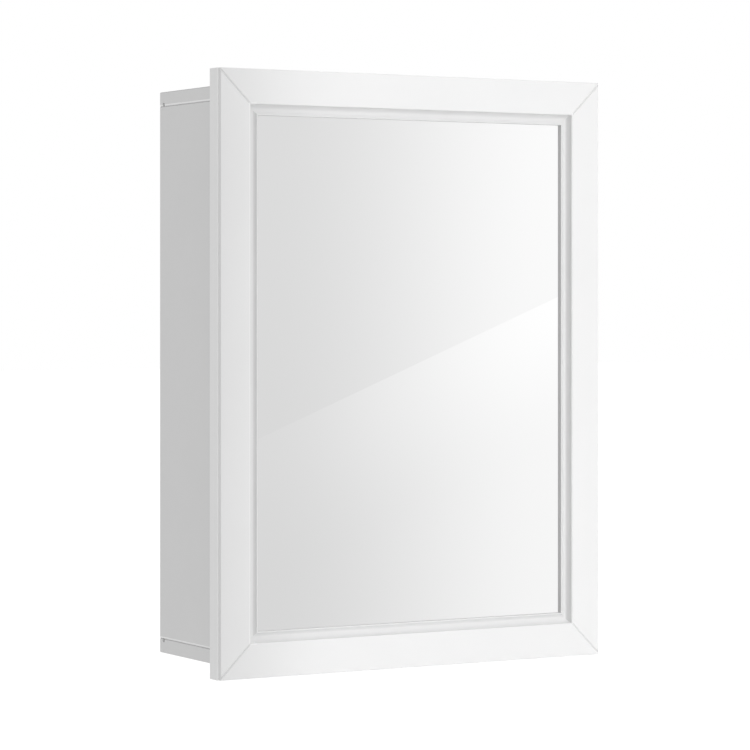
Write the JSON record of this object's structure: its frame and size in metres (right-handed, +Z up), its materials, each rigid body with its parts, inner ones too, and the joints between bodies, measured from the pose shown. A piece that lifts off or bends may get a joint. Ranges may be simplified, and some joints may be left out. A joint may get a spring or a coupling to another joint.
{
  "type": "medicine cabinet with mirror",
  "caption": "Wall-hung white medicine cabinet: shallow shelved carcass behind a hinged door with a mitred, moulded frame around a mirror and a magnetic catch.",
  "frame": {"origin": "on the wall plane, midway along the bottom rear edge of the carcass", "axes": "+X to the right seen from the front, -Y out of the wall towards the viewer, +Z up"},
  "size_m": [0.39, 0.139, 0.521],
  "materials": {
    "white_panel": "white satin lacquer on MDF",
    "white_door": "white satin lacquer on MDF moulding",
    "white_board": "white-faced 3 mm hardboard",
    "brown_board": "raw hardboard",
    "raw_beech": "raw beech",
    "mirror": "silvered float glass",
    "nickel": "nickel-plated steel",
    "zinc": "zinc-plated steel",
    "white_plastic": "moulded white plastic",
    "ferrite": "ferrite magnet",
    "clear_rubber": "translucent soft bumper"
  },
  "bodies": {
    "cabinet": {"top_panel": "white_panel", "bottom_panel": "white_panel", "left_side_panel": "white_panel", "right_side_panel": "white_panel", "back_panel": "white_board", "upper_hanging_rail": "white_panel", "lower_hanging_rail": "white_panel", "upper_shelf": "white_panel", "lower_shelf": "white_panel", "upper_shelf_pins": "zinc", "lower_shelf_pins": "zinc", "cam_bolts": "zinc", "cam_locks": "zinc", "cam_covers": "white_plastic", "panel_dowels": "raw_beech", "rail_dowels": "raw_beech", "upper_hinge_plate": "nickel", "lower_hinge_plate": "nickel", "upper_hinge_arm": "nickel", "lower_hinge_arm": "nickel", "hinge_plate_screws": "zinc", "hinge_arm_screws": "zinc", "catch_housing": "white_plastic", "catch_magnet": "ferrite", "catch_pole_plates": "zinc", "catch_screws": "zinc"},
    "door": {"left_stile": "white_door", "right_stile": "white_door", "top_rail": "white_door", "bottom_rail": "white_door", "mitre_splines": "raw_beech", "mirror_glass": "mirror", "mirror_backing": "brown_board", "mirror_clips": "white_plastic", "clip_screws": "zinc", "upper_hinge_cup": "nickel", "lower_hinge_cup": "nickel", "hinge_cup_screws": "zinc", "upper_hinge_pin": "zinc", "lower_hinge_pin": "zinc", "strike_plate": "zinc", "strike_screw": "zinc", "door_bumpers": "clear_rubber"}
  },
  "joints": [
    {"name": "door_hinge", "type": "hinge", "parent": "cabinet", "child": "door", "pos_m": [0.187, -0.1236, 0.25], "axis": [0, 0, 1], "range_deg": [0, 100]}
  ]
}
